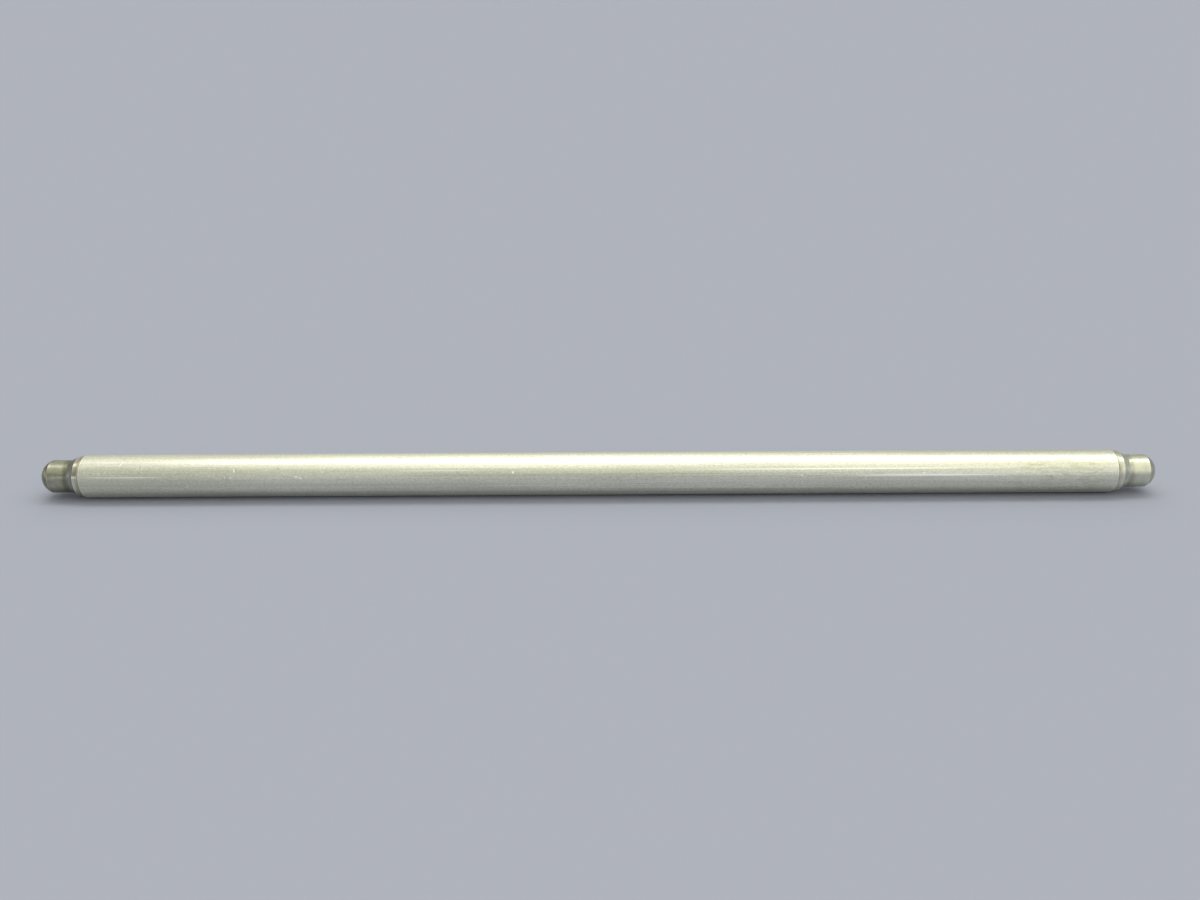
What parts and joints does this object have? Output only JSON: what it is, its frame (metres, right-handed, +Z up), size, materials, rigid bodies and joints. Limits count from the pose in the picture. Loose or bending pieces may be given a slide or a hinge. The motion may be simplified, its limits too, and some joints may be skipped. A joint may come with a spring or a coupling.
{
  "type": "engine pushrod",
  "caption": "Straight engine pushrod: a drawn aluminium tube with a pressed-in hardened steel ball end at each end, passing valve lift and oil from tappet to rocker arm.",
  "frame": {"origin": "middle of the rod, on its axis", "axes": "+X along the rod towards the rocker arm's end, +Z up as the rod lies on a table"},
  "size_m": [0.2894, 0.011, 0.0112],
  "materials": {
    "tube": "satin, drawn lengthwise, with light scratches and stains from use",
    "tappet_end": "ground and polished, with a bronze tarnish",
    "rocker_end": "ground and polished, with a light bronze tarnish"
  },
  "bodies": {
    "root": {"tube": "tube", "tappet_end": "tappet_end", "rocker_end": "rocker_end"}
  },
  "joints": []
}
